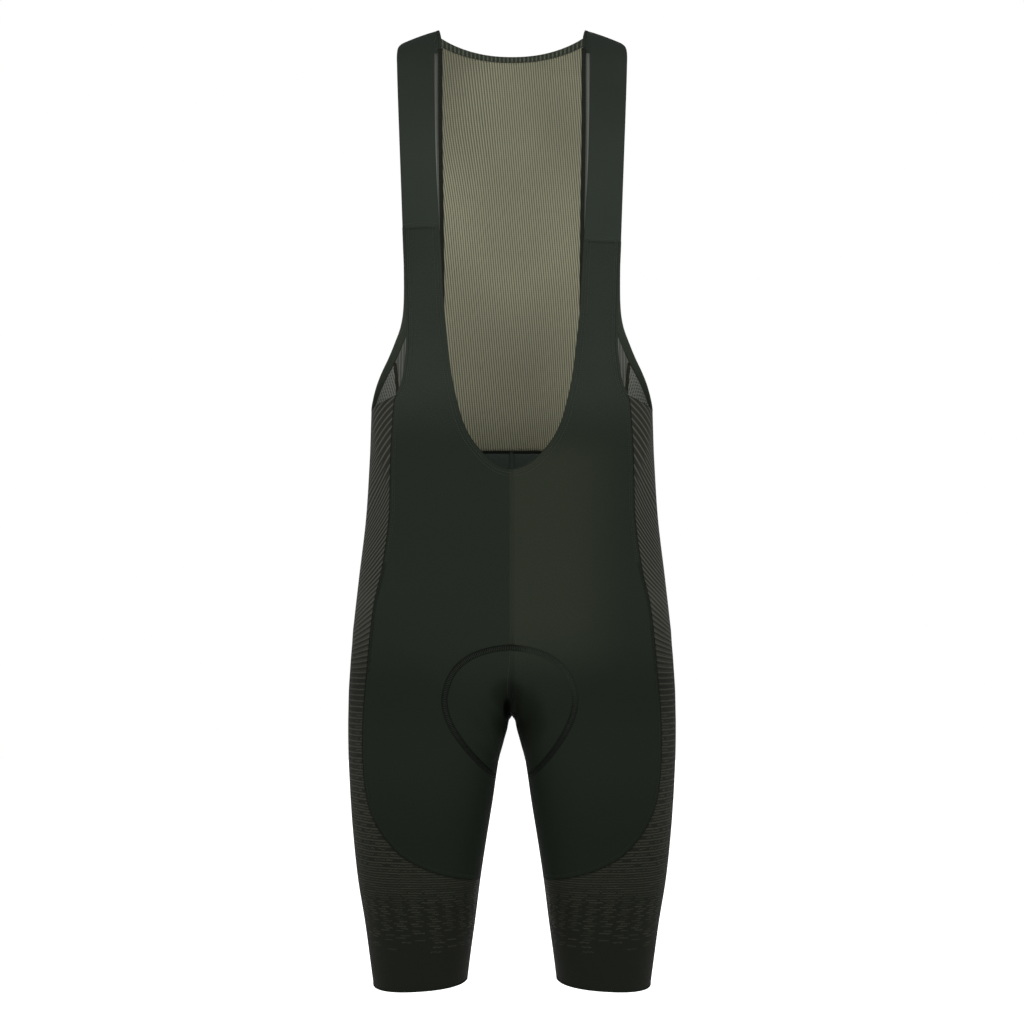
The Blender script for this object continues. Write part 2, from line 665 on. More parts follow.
class Nodes:
    """Short ways to make shader nodes."""

    def __init__(self, name):
        self.material = bpy.data.materials.new(name)
        self.material.use_nodes = True
        self.tree = self.material.node_tree
        self.shader = self.tree.nodes["Principled BSDF"]
        self.place = self.make("TexCoord", output="Object")

    def put(self, socket, value):
        if isinstance(value, Value):
            self.tree.links.new(value.socket, socket)
        else:
            socket.default_value = value

    def make(self, kind, inputs=(), output=0, **settings):
        """Adds a node with these inputs and settings, and gives one of its outputs."""
        made = self.tree.nodes.new("ShaderNode" + kind)
        for key, value in settings.items():
            setattr(made, key, value)
        for key, value in (inputs if isinstance(inputs, dict) else dict(enumerate(inputs))).items():
            self.put(made.inputs[key], value)
        return Value(self, made.outputs[output])

    def math(self, operation, *values):
        return self.make("Math", values, operation=operation)

    def attribute(self, name):
        return self.make("Attribute", output="Fac", attribute_name=name)

    def vector(self, x, y):
        return self.make("CombineXYZ", (x, y))

    def axes(self):
        separate = self.make("SeparateXYZ", (self.place,)).socket.node
        return [Value(self, output) for output in separate.outputs]

    def noise(self, vector, scale, detail=2.0, rough=0.5):
        return self.make("TexNoise", {"Vector": vector, "Scale": scale, "Detail": detail,
                                      "Roughness": rough}, "Fac")

    def mix(self, share, a, b):
        return self.make("Mix", {0: share, 6: a, 7: b}, 2, data_type="RGBA")

    def bump(self, height, strength, distance):
        self.put(self.shader.inputs["Normal"], self.make(
            "Bump", {"Strength": strength, "Distance": distance, "Height": height}))

    def finish(self, colour, roughness, specular):
        for key, value in (("Base Color", colour), ("Roughness", roughness),
                           ("Specular IOR Level", specular)):
            self.put(self.shader.inputs[key], value)
        return self.material


def srgb(r, g, b):
    """A linear colour from 8-bit sRGB values."""
    return tuple(c / 255 / 12.92 if c <= 10.3 else ((c / 255 + 0.055) / 1.055) ** 2.4
                 for c in (r, g, b)) + (1.0,)


def knit_height(m, wale_mm, course_mm):
    """The V-shaped loops of a fine knit, from the cloth's own coordinates."""
    across = m.attribute("wale") * (TURN / wale_mm)
    lean = m.math("ABSOLUTE", m.math("SINE", across * 0.5))
    rise = m.attribute("course") * (TURN / course_mm) + lean * 2.2
    return m.math("COSINE", across) * 0.5 + m.math("SINE", rise) * 0.5


# Places in a material are in metres. The panels get darker on their way down, in steps from
# one height to another; the front's wearer's left half is a little warmer; and the crotch has a
# hollow and a crease: x, z, half width, half height, strength and colour
LOW_SHADES = ((-0.38, -0.45, srgb(33, 38, 32)), (-0.62, -0.72, srgb(27, 32, 26)),
              (-0.77, -0.88, srgb(23, 28, 22)))
WARM_SHADE = srgb(41, 45, 37)
CROTCH_SHADES = ((0.009, -0.739, 0.029, 0.041, 0.65, srgb(17, 20, 14)),
                 (-0.006, -0.710, 0.018, 0.018, 0.45, srgb(12, 14, 11)),
                 (-0.0055, -0.7285, 0.0048, 0.0135, 0.97, srgb(2, 3, 2)))


def lycra_material(name, light, dark, wale=0.9, course=1.1, low=(), lining=None):
    """A smooth stretch knit: fine loops, a faint mottle and a slow change of tone."""
    m = Nodes(name)
    fine = m.noise(m.vector(m.attribute("wale"), m.attribute("course")), 0.55, 3.0, 0.65)
    tone = m.noise(m.place, 9.0) * 0.6 + fine * 0.4
    colour = m.mix(tone.smooth(0.3, 0.7), dark, light)
    if low:
        across, depth, height = m.axes()
        for top, bottom, shade in low:
            colour = m.mix(height.smooth(bottom, top, 1.0, 0.0), colour, shade)
        warm = (across.smooth(-0.004, -0.001) * across.smooth(0.05, 0.13, 1.0, 0.0)
                * height.smooth(-0.70, -0.62) * height.smooth(-0.47, -0.42, 1.0, 0.0)
                * depth.smooth(-0.03, -0.01, 1.0, 0.0))
        colour = m.mix(warm, colour, WARM_SHADE)
        in_front = depth.smooth(0.0, 0.03, 1.0, 0.0)
        for x, z, half_x, half_z, strength, shade in CROTCH_SHADES:
            near = ((across - x) / half_x) ** 2.0 + ((height - z) / half_z) ** 2.0
            colour = m.mix(near.smooth(0.1, 1.3, strength, 0.0) * in_front, colour, shade)
        colour = m.make("HueSaturation", {"Value": (fine - 0.5) * 0.5 + 1.0, "Color": colour})
    if lining:
        colour = m.mix(m.attribute("inside"), colour, lining)
    m.bump(knit_height(m, wale, course) + fine * 0.8, 0.35, 0.00025)
    return m.finish(colour, 0.75, 0.01)


DASH_LENGTH, DASH_LEAN, DASH_STAGGER = 18.0, 0.05, 0.16


def stripe_material():
    """A knit with light lines, which break into short dashes low on the leg and fade out."""
    m = Nodes("striped_knit")
    count, away, course, wale = (m.attribute(a) for a in ("line", "away", "course", "wale"))
    down = course * -1.0
    wave = m.noise(m.vector(away * 0.06, course * 0.05), 1.0) - 0.5
    jag = m.noise(m.vector(away * 0.8, course * 0.2), 1.0, 1.0) - 0.5
    bent = count + wave * 0.15 + jag * down.smooth(600, 700, 0.06, 0.32)

    def line(value, sharp):
        return m.math("COSINE", value * TURN).smooth(sharp, 1.0)

    # High up only every second line shows, and below the thigh broken ones lie between them
    wide = line(bent * 0.5, 0.25)
    fine = line(bent, down.smooth(590, 700, -0.25, 0.52))
    main = m.mix((down + away * 1.6).smooth(476, 506), wide, fine)
    pair = line(bent + 0.32, 0.6) * (down.smooth(590, 612, 0.0, 0.6)
                                     * down.smooth(680, 700, 1.0, 0.0))
    second = line(bent + 0.5 + jag * 0.5, 0.62)
    patchy = m.noise(m.vector(away * 0.16, bent), 1.0, 1.0).smooth(0.38, 0.5)
    reach_in = (away - down.smooth(780, 905, 8.0, 95.0)).smooth(0.0, 14.0, 1.0, 0.0)
    lower = m.math("MAXIMUM", down.smooth(700, 750) * (patchy * reach_in), down.smooth(893, 915))
    lines = m.math("MAXIMUM", m.math("MAXIMUM", main, pair), second * lower)
    # Low on the leg every line breaks into dashes, which lie in leaning columns and get fewer
    row = m.math("FLOOR", count * 2.0 + 0.5)
    column = wale / DASH_LENGTH + row * DASH_LEAN + row % 3.0 * DASH_STAGGER
    chance = m.make("TexWhiteNoise", {"Vector": m.vector(m.math("FLOOR", column), row)}, "Value",
                    noise_dimensions="2D")
    half = down.smooth(905, 950, 0.62, 0.26) + (chance - 0.5) * 0.16
    dash = m.math("ABSOLUTE", m.math("FRACT", column) - 0.5).smooth(
        half - 0.03, half + 0.03, 1.0, 0.0)
    kept = (chance - down.smooth(945, 998, -0.1, 1.0)).smooth(0.0, 0.05)
    faint = m.math("FRACT", chance * 7.0).smooth(0.0, 1.0, down.smooth(890, 930, 1.0, 0.45), 1.0)
    speck = m.noise(m.vector(wale, course), 1.3, 2.0, 0.6).smooth(0.2, 0.6, 0.65, 1.0)
    lines = lines * (dash * (kept * faint)) * speck
    ground = m.mix(m.noise(m.place, 12.0).smooth(0.3, 0.7), srgb(35, 35, 31), srgb(41, 41, 36))
    ground = m.mix(down.smooth(600, 710), ground, srgb(26, 27, 22))
    ground = m.mix(down.smooth(820, 920), ground, srgb(22, 24, 19))
    light = m.mix(down.smooth(600, 710), srgb(71, 72, 66), srgb(51, 52, 45))
    light = m.mix(down.smooth(800, 930), light, srgb(43, 44, 37))
    inner = wale.smooth(6, 46, 1.0, 0.0) * down.smooth(880, 900)
    light = m.mix(inner * down.smooth(950, 980, 1.0, 0.3), light, srgb(98, 100, 90))
    m.bump(knit_height(m, 1.3, 1.5) * 0.7 + lines * 1.1, 0.5, 0.0004)
    return m.finish(m.mix(lines, ground, light), 0.8, 0.03)


def rib_material(name, crest, valley, mesh_holes):
    """A ribbed mesh: light ribs, darker channels and rows of small holes between them."""
    m = Nodes(name)
    rib, course = m.attribute("rib"), m.attribute("course")
    row = m.math("COSINE", course * (TURN / MESH_ROW_PITCH))
    holes = row.smooth(0.1, 0.9) * rib.smooth(0.25, 0.7, 1.0, 0.0)
    mottle = m.noise(m.vector(m.attribute("wale"), course * 0.25), 0.5, 3.0)
    colour = m.mix(rib.smooth(0.1, 0.9) + (mottle - 0.5) * 0.5, valley, crest)
    dark = m.mix(0.6, valley, (0.01, 0.01, 0.01, 1))
    colour = m.mix(holes * mesh_holes, colour, dark)
    broad = m.noise(m.place, 7.0, 1.0).smooth(0.3, 0.7, 0.0, 0.25)
    colour = m.mix(broad + course.smooth(-210, 0, 0.0, 0.42), colour, dark)
    m.bump(row * 0.25 - holes, 0.5, 0.0004)
    return m.finish(colour, 0.85, 0.05)


def neck_band_material():
    """The folded binding of the back neck, with a fine rib across it."""
    m = Nodes("neck_band_knit")
    rib = m.math("COSINE", m.attribute("wale") * (TURN / NECK_RIB_PITCH)).smooth(0.0, 0.8)
    speck = m.noise(m.place, 500.0).smooth(0.2, 0.55, 0.5, 1.0)
    m.bump(rib, 0.4, 0.0003)
    return m.finish(m.mix(rib * speck, srgb(44, 50, 42), srgb(82, 84, 73)), 0.8, 0.05)


def thread_material(name, colour, low=None):
    m = Nodes(name)
    twist = m.noise(m.place, 900.0, 1.0)
    dark = tuple(c * 0.75 for c in colour[:3]) + (1,)
    shade = m.mix(twist.smooth(0.35, 0.65), dark, colour)
    if low:
        shade = m.mix(m.axes()[2].smooth(-0.775, -0.735, 1.0, 0.0), shade, low)
    m.bump(twist, 0.3, 0.0002)
    return m.finish(shade, 0.7, 0.05)


def tape_material(name, light, dark, upper_left=None):
    """Flat seam cover: threads that cross the seam in close rows."""
    m = Nodes(name)
    lean = m.attribute("course") * (TURN / TAPE_THREAD_PITCH) + m.attribute("wale") * 0.9
    thread = m.math("SINE", lean).smooth(-0.5, 0.8)
    colour = m.mix(thread * m.noise(m.place, 700.0).smooth(0.2, 0.6), dark, light)
    if upper_left:
        across, _, height = m.axes()
        share = across.smooth(0.0, 0.02) * height.smooth(-0.74, -0.69)
        colour = m.mix(share * 0.8, colour, upper_left)
    m.bump(thread, 0.6, 0.0003)
    return m.finish(colour, 0.8, 0.03)


def pad_material():
    m = Nodes("pad_foam")
    grain = m.noise(m.place, 420.0, 3.0, 0.6)
    tone = grain * 0.5 + m.noise(m.place, 14.0) * 0.5
    m.bump(grain, 0.5, 0.0005)
    return m.finish(m.mix(tone.smooth(0.35, 0.65), srgb(30, 33, 28), srgb(44, 48, 41)), 0.9, 0.05)


MESH_ROW_PITCH, TAPE_THREAD_PITCH = 2.1, 1.6
MATERIALS = {
    "lycra": lycra_material("lycra", srgb(43, 48, 42), srgb(38, 43, 37), low=LOW_SHADES,
                            lining=srgb(75, 83, 77)),
    "strap_lycra": lycra_material("strap_lycra", srgb(46, 51, 46), srgb(42, 47, 42)),
    "band": lycra_material("band_knit", srgb(46, 51, 45), srgb(39, 44, 38), 1.4, 1.2,
                           lining=srgb(60, 66, 57)),
    "lining_ridge": lycra_material("lining_ridge", srgb(78, 86, 79), srgb(70, 77, 71)),
    "neck_band": neck_band_material(),
    "striped_knit": stripe_material(),
    "pad_foam": pad_material(),
    "pad_tape": tape_material("pad_tape", srgb(19, 22, 18), srgb(13, 15, 12),
                              upper_left=srgb(32, 36, 30)),
    "pad_thread": thread_material("pad_thread", srgb(43, 49, 41), low=srgb(22, 25, 20)),
}
for name, crest, valley, mesh_holes in (
        ("olive_rib", srgb(165, 163, 139), srgb(104, 104, 86), 0.5),
        ("grey_rib", srgb(118, 120, 113), srgb(88, 90, 84), 0.3),
        ("underarm_rib", srgb(142, 145, 137), srgb(88, 90, 84), 0.12)):
    MATERIALS[name] = rib_material(name, crest, valley, mesh_holes)
for name, light, dark in (("seam_tape", srgb(37, 42, 36), srgb(29, 33, 28)),
                          ("rib_tape", srgb(44, 46, 40), srgb(28, 30, 26)),
                          ("underarm_tape", srgb(62, 61, 50), srgb(44, 44, 36))):
    MATERIALS[name] = tape_material(name, light, dark)
for name, colour in (("dark_thread", srgb(28, 32, 27)), ("soft_thread", srgb(57, 63, 54)),
                     ("seam_thread", srgb(62, 69, 59)), ("faint_thread", srgb(38, 44, 37)),
                     ("mid_thread", srgb(66, 70, 64))):
    MATERIALS[name] = thread_material(name, colour)

# Pieces


def dress(piece, material, stands_for_solid=False):
    piece.data.materials.append(MATERIALS[material])
    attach(piece, "root")
    if stands_for_solid:
        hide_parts(piece.name.lower())
    return piece


def cloth(base, label, grids, material):
    """A cut piece of cloth, which stands for the solid of its own name."""
    piece = dress(shell(base, label, grids), material, True)


def tape(base, label, line, profile, material):
    dress(ribbon(base, label, *line, profile), material)


def two_tapes(base, label, line, profile, material):
    """A seam's covers, one on the outer face of the cloth and one on the inner."""
    path, normal = line
    for face, depth, way in (("Outside", 0.0, 1), ("Inside", -1.0, -1)):
        tape(f"{base}_{face}", label, (path + normal * depth, normal * way), profile, material)


def sew(base, label, rows, material):
    dress(stitch_rows(base, label, rows), material)


def seam_line(edge):
    """The points and normals of an edge given as angles and heights."""
    return laid(on_grid(edge))


def resampled(path, normal, pitch):
    run = run_of(path)
    at = np.linspace(0, run[-1], max(3, int(run[-1] / pitch) + 1))
    return sample(at, run, path), unit(sample(at, run, normal))


def middle_line(edge):
    """The points and normals of a middle seam, kept to the body's middle plane."""
    return tuple(vectors * (0, 1, 1) for vectors in resampled(*seam_line(edge), 3.0))


# The front panels. The neck edge is a folded hem with a line and a row of fine stitches. The seam
# between front and side is flat: rows of dots, and close cross stitches lower down

INNER_LEG_ROWS = np.stack([np.full(8, -180.0), np.linspace(-918, -1026, 8)], -1)

for label, sign, joint_z in SIDES:
    grid, neck, armhole, rise, inseam = front_panel(joint_z)
    cloth("Front", label, [patch(grid[..., 0], grid[..., 1])], "lycra")
    tape("Neck_Hem", label, resampled(*seam_line(neck), 2.5), flat_band(0.0, 3.6, 0.55), "lycra")
    line = resampled(*seam_line(neck), 2.0)
    sew("Neck_Stitches", label, [(*line, 4.1, 0.1, 2.4, 1.9, 0.3, 0),
                                 (*line, 7.4, 0.12, 2.4, 1.5, 0.34, 0)], "mid_thread")
    line = resampled(*seam_line(armhole), 2.0)
    sew("Armhole_Stitches", label, [(*line, -5.0, 0.1, 2.4, 1.5, 0.32, 0),
                                    (*line, -7.6, 0.1, 2.4, 1.5, 0.32, 0)], "mid_thread")
    tape("Armhole_Hem", label, resampled(*seam_line(armhole), 2.5), flat_band(-3.4, 0.0, 0.5),
         "lycra")
    path, normal = resampled(*seam_line(front_seam), 2.0)
    upper, lower = path[:, 2] > -570, path[:, 2] < -690
    close = ~upper & ~lower
    sew("Front_Seam_Stitches", label, [
        (path[upper], normal[upper], -4.5, 0.1, 2.4, 1.0, 0.27, 0),
        (path[upper], normal[upper], -7.1, 0.1, 2.4, 1.0, 0.27, 0)], "seam_thread")
    sew("Front_Seam_Line", label, [
        (path[lower], normal[lower], -4.6, 0.05, 2.2, 2.0, 0.24, 0)], "faint_thread")
    sew("Front_Seam_Threads", label, [
        (path[close], normal[close], -2.8, 0.12, 1.6, 4.6, 0.28, 80),
        (path, normal, 0.1, 0.25, 2.6, 2.3, 0.3, 8)], "dark_thread")
    inner_leg = np.concatenate([inseam, INNER_LEG_ROWS])
    tape("Inseam_Tape", label, resampled(*seam_line(inner_leg), 3.0), flat_band(-2.4, 2.4, 0.3),
         "seam_tape")

# The middle seam of the front is shared by both halves
middle = middle_line(rise)
tape("Front_Middle_Seam", "", middle, flat_band(-0.7, 0.7, 0.03), "lycra")
dots_z = np.linspace(NECKLINE[-1][1] - 4, -713, 170)
dots_x = -1.6 - 2.6 * np.exp(-((dots_z + 700) / 28) ** 2)
sew("Front_Middle_Stitches", "", [
    (*laid(at_x(dots_x, dots_z, FRONT)), 0.0, 0.12, 2.2, 1.5, 0.2, 0)], "soft_thread")

# The seat panels

seat_rise, seat_inseam = middle_edges(BACK_WAIST_Z, BACK)
grid = main_panel([seat_rise, seat_inseam], back_seam, back_seam[:0])
for label, sign, joint_z in SIDES:
    cloth("Seat", label, [patch(grid[..., 0], grid[..., 1])], "lycra")
    tape("Back_Seam", label, resampled(*seam_line(back_seam), 3.0), flat_band(-0.2, 5.2, 0.14),
         "lycra")
    line = resampled(*seam_line(back_seam), 2.0)
    sew("Back_Seam_Stitches", label, [
        (*line, 3.6, 0.35, 2.4, 1.4, 0.3, 0), (*line, 6.0, 0.1, 2.4, 1.4, 0.3, 0),
        (*line, -0.1, 0.25, 2.6, 2.3, 0.3, 8)], "soft_thread")

middle = middle_line(seat_rise)
tape("Seat_Middle_Seam", "", middle, flat_band(-2.2, 2.2, 0.3), "seam_tape")
sew("Seat_Middle_Stitches", "", [
    (*middle, -1.8, 0.4, 2.6, 1.7, 0.3, 20), (*middle, 1.8, 0.4, 2.6, 1.7, 0.3, -20)],
    "dark_thread")
# Inside, the seam's spare cloth stands up as a soft ridge from the waist down
path, normal = (vectors[:int(len(vectors) * 0.6)] for vectors in middle)
tape("Seat_Seam_Allowance", "", (path - normal * CLOTH, -normal), [
    (-3.0, -0.3), (-3.0, 0.5), (-2.2, 1.2), (-0.8, 1.5), (0.6, 1.0), (2.4, 0.5), (2.7, -0.3)],
    "lining_ridge")

# The side panels and cuffs

for label, sign, joint_z in SIDES:
    grids = []
    for angle, z in side_grids():
        line, away = stripe_count(angle, z)
        grids.append(patch(angle, z, line=line, away=away))
    cloth("Side", label, grids, "striped_knit")

# The shoulder straps

STRAP_COLUMNS, STRAP_UPRIGHT_ROWS, STRAP_ARCH_ROWS, NECK_CORNER_ROWS = 28, 28, 126, 42


def shoulder_point(x, turn):
    z = ARCH_BASE_Z + (crest_z(x) - ARCH_BASE_Z) * np.sin(np.radians(turn))
    depth = np.where(turn < 90, smooth_column(TORSO, "front", z), smooth_column(TORSO, "back", z))
    half = smooth_column(TORSO, "half", z)
    return np.stack([x, -depth * section_depth(x / half) * np.cos(np.radians(turn)), z], -1)


def strap_rows(joint_z):
    """The strap's points, from the joint up the front and over the shoulder to the back."""
    t = even(STRAP_COLUMNS)
    z = lerp(joint_z, ARCH_BASE_Z, even(STRAP_UPRIGHT_ROWS)[:-1])
    x = lerp(smooth_column(STRAP_EDGES, "inner", z)[:, None],
             smooth_column(STRAP_EDGES, "outer", z)[:, None], t[None])
    low = at_x(x, np.broadcast_to(z[:, None], x.shape), FRONT)
    turn = STRAP_BACK_END_TURN * even(STRAP_ARCH_ROWS)
    z = ARCH_BASE_Z + (crest_z(100) - ARCH_BASE_Z) * np.sin(np.radians(np.minimum(turn, 90)))
    past = np.maximum(0, turn - 90) / (STRAP_BACK_END_TURN - 90)
    inner = lerp(smooth_column(STRAP_EDGES, "inner", z), STRAP_BACK_INNER_X,
                 np.minimum(1, past / STRAP_INNER_TURN_SHARE))
    outer = lerp(smooth_column(STRAP_EDGES, "outer", z), STRAP_BACK_OUTER_X, past)
    x = lerp(inner[:, None], outer[:, None], t[None])
    return np.concatenate([low, shoulder_point(x, np.broadcast_to(turn[:, None], x.shape))])


for label, sign, joint_z in SIDES:
    form = strap_rows(joint_z)
    grid = own_grid(form)
    p, n = grid["p"], grid["n"]
    cloth("Strap", label, [grid], "strap_lycra")
    # The joint between strap and front panel, a bowed line above it and a tack at each end
    path, normal = resampled(p[0], n[0], 2.0)
    tape("Strap_Joint", label, (path, normal), flat_band(-0.4, 0.4, 0.15), "strap_lycra")
    bow_x = lerp(form[0, 0, 0] + 1, form[0, -1, 0] - 1, even(16))
    bow = laid(at_x(bow_x, joint_z + 3 + 2.4 * np.sin(np.pi * even(16)), FRONT))
    sew("Strap_Bow", label, [(*bow, 0.0, 0.05, 2.2, 2.0, 0.2, 0),
                             (path[:5], normal[:5], 0.9, 0.15, 2.0, 1.6, 0.28, 0),
                             (path[-5:], normal[-5:], 0.9, 0.15, 2.0, 1.6, 0.28, 0)],
        "mid_thread")
    tape("Neck_Corner", label,
         resampled(p[-NECK_CORNER_ROWS:, 0], n[-NECK_CORNER_ROWS:, 0], 2.0),
         [(-1.6, -1.4), (-1.6, 0.15), (-1.0, 0.35), (1.2, 0.3), (1.6, 0), (1.6, -1.4)],
         "strap_lycra")
    tape("Strap_End_Seam", label, resampled(p[-1], n[-1], 2.0), flat_band(-2.4, 2.4, 0.4),
         "seam_tape")

# The ribbed back

BACK_CORNER_X = float(BACK_RIB_SEAM["x"][0])
RIB_RISE, RIB_LEAN, RIB_PULL = 0.42, 0.1, 6


def back_top_z(x):
    return shoulder_point(x, np.full(np.shape(x), STRAP_BACK_END_TURN))[..., 2]


def rib_seam_x(z):
    return smooth_column(BACK_RIB_SEAM, "x", z)


def neck_share(x):
    return np.minimum(1, np.abs(x) / BACK_CORNER_X) ** NECK_DIP_POWER


def neck_edge_z(x):
    return lerp(BACK_NECK_CENTRE_Z, BACK_NECK_CORNER_Z, neck_share(x))


def neck_band_drop(x):
    return lerp(NECK_BAND_DROP, NECK_BAND_CORNER_DROP, neck_share(x))


def ribbed_grid(form, phase):
    """A grid with ribs raised on both faces; phase counts ribs across it."""
    crest = np.clip((0.5 - 0.5 * np.cos(2 * np.pi * phase)) * 1.25, 0, 1)
    return own_grid(form, rib=crest, course=form[..., 2], out=RIB_RISE * crest - 0.1,
                    inward=0.75 + RIB_RISE * crest)


def rib_phase(x, z):
    """The ribs of the back lean to the wearer's left on their way down, more so near the
    wearer's right shoulder and less at the lower left."""
    shoulder = RIB_PULL * ease((z + 190) / 110) * ease((-x - 10) / 65)
    low = RIB_PULL * ease((-z - 250) / 200) * ease((x - 10) / 60)
    return (x + RIB_LEAN * z + shoulder + low) / RIB_PITCH


across = lerp(-1, 1, even(7 * round(2 * BACK_CORNER_X / RIB_PITCH)))
top_x = across * BACK_CORNER_X
top = neck_edge_z(top_x) - neck_band_drop(top_x)
z = lerp(top[None], BACK_WAIST_Z, even(100)[:, None] ** 1.15)
form = at_x(across[None] * rib_seam_x(z), z, BACK)
cloth("Back_Centre", "", [ribbed_grid(form, rib_phase(form[..., 0], form[..., 2]))],
      "olive_rib")

# The armhole bands, the back's ribbed sides and the underarm pieces


def armhole_band_edges():
    """The band's outer edge and its inner edge, a band's width in over the form."""
    top = (STRAP_BACK_OUTER_X, float(back_top_z(STRAP_BACK_OUTER_X)))
    side = (float(at_angle(0, SIDE_TOP_Z)[0]), SIDE_TOP_Z)
    coarse = along([top] + BACK_ARMHOLE + [side], BAND_SHARES)
    outer = np.stack([angle_at(coarse[:, 0], coarse[:, 1], BACK), coarse[:, 1]], -1)
    outer[-1, 0] = 0
    p = on_grid(outer)
    k = np.arange(len(p))
    way = p[np.minimum(k + 1, len(p) - 1)] - p[np.maximum(k - 1, 0)]
    moved = p + unit(np.cross(normals_at(p), way)) * ARMHOLE_BAND_WIDTH
    axis = smooth_column(AXIS, "x", moved[:, 2])
    inner = np.stack([np.degrees(np.arctan2(moved[:, 1], moved[:, 0] - axis)), moved[:, 2]], -1)
    top_x = STRAP_BACK_OUTER_X - ARMHOLE_BAND_WIDTH
    top_z = float(back_top_z(top_x))
    inner[0] = float(angle_at(top_x, top_z, BACK)), top_z
    first = back_seam[0, 0] * SIDE_BACK_SHARES[1]
    inner[-1] = first, float(side_top(np.array([first]))[0])
    return outer, inner


def finer(edge):
    """A coarse edge with smooth points between its own."""
    return curve(edge, np.linspace(0, len(edge) - 1, (len(edge) - 1) * FINE + 1))


FINE, BAND_COLUMNS, UNDERARM_COLUMNS, SIDE_RIBS = 8, 8, 48, 13
BAND_HUMP = np.sin(np.pi * even(BAND_COLUMNS)) ** 0.5
coarse_outer, coarse_inner = armhole_band_edges()
band_outer, band_inner = finer(coarse_outer), finer(coarse_inner)
underarm_line = lerp(coarse_inner[UNDERARM_ROW], back_seam[0], even(24)[:, None])

for label, sign, joint_z in SIDES:
    rows = lerp(band_outer[:, None], band_inner[:, None], even(BAND_COLUMNS)[None, :, None])
    hump = 0.5 * BAND_HUMP
    grid = own_grid(on_grid(rows), out=hump, inward=1.0 + hump)
    cloth("Armhole_Band", label, [grid], "band")
    p, n = grid["p"], grid["n"]
    sew("Band_Stitches", label, [
        (*resampled(lerp(p[:, 0], p[:, -1], share), n[:, 4], 2.0),
         0.0, 0.35, 2.3, 1.5, 0.3, 0) for share in (0.2, 0.82)], "mid_thread")

    # The ribbed side of the back
    edge = np.concatenate([band_inner[:UNDERARM_ROW * FINE + 1], underarm_line[1:]])
    outside = on_grid(edge)
    t = even(8 * SIDE_RIBS)
    height = np.broadcast_to(outside[:, 2:], (len(edge), len(t))).copy()
    x = lerp(rib_seam_x(outside[:, 2])[:, None], outside[:, :1], t[None])
    height[0] = back_top_z(x[0])
    grid = ribbed_grid(at_x(x, height, BACK), (x - rib_seam_x(height)) / SIDE_RIB_PITCH)
    cloth("Back_Side", label, [grid], "grey_rib")

    # The underarm piece, whose ribs slant
    right = band_inner[UNDERARM_ROW * FINE:][::-1]
    steps = len(right) - 1
    seam = sample(np.linspace(0, 24, steps + 1), np.arange(25), underarm_line[::-1])
    bottom_angle = back_seam[0, 0] * np.interp(even(UNDERARM_COLUMNS), even(4),
                                               SIDE_BACK_SHARES[1:])
    bottom = np.stack([bottom_angle, side_top(bottom_angle)], -1)
    t = even(UNDERARM_COLUMNS)[None, :, None]
    fade = (1 - np.arange(steps + 1) / steps)[:, None, None]
    rows = (lerp(right[:, None], seam[:, None], t)
            + fade * (bottom - lerp(bottom[:1], bottom[-1:], t[0]))[None])
    form = on_grid(rows)
    grid = ribbed_grid(form, (form[..., 0] - 0.3 * form[..., 2]) / RIB_PITCH)
    cloth("Underarm", label, [grid], "underarm_rib")

    # Covers over the seams of the back
    rib_z = np.linspace(-6, BACK_WAIST_Z + 1, 120)
    line = resampled(*laid(at_x(rib_seam_x(rib_z), rib_z, BACK)), 3.0)
    two_tapes("Rib_Seam", label, line, flat_band(-2.4, 2.4, 0.75), "rib_tape")
    line = resampled(*seam_line(underarm_line), 2.5)
    two_tapes("Underarm_Seam", label, line, flat_band(-2.1, 2.1, 0.8), "underarm_tape")

# The back neck band, with ribs across it
x = BACK_CORNER_X * lerp(-1, 1, even(160))
rows = np.stack([neck_edge_z(x) - share * neck_band_drop(x) for share in even(BAND_COLUMNS)])
hump = 0.55 * BAND_HUMP[:, None]
grid = own_grid(at_x(np.broadcast_to(x, rows.shape), rows, BACK), wale=x, out=hump,
                inward=1.0 + hump)
cloth("Back_Neck_Band", "", [grid], "neck_band")
rows = []
for row in (1, 7):
    path, normal = resampled(grid["p"][row], grid["n"][row], 2.0)
    rows.append((path, normal, 0.0, 0.5, 2.6, 1.6, 0.3, 0))
    rows.append((path - normal * 1.1, -normal, 0.0, 0.5, 2.6, 1.6, 0.3, 0))
sew("Neck_Band_Stitches", "", rows, "mid_thread")

# The waist seam of the back
waist_x = np.linspace(-122, 122, 160)
two_tapes("Waist_Seam", "", laid(at_x(waist_x, np.full(160, float(BACK_WAIST_Z)), BACK)),
          flat_band(-1.6, 1.6, 0.7), "rib_tape")

# The seat pad: a soft quilted form against the inside of the front and the seat

PAD_GAP, PAD_EDGE, PAD_FULL = 1.4, 2.0, 6.5
PAD_ROWS, PAD_COLUMNS, PAD_RISE_ROWS, PAD_INSEAM_ROWS = 96, 48, 64, 32
PAD_END_SLOPE, PAD_SIDE_SLOPE = 6, 2.6
RING_GROWTH, RING_SHIFT, RING_SPREAD, RING_DROP = 0.02, -2.3, 1.5, 6


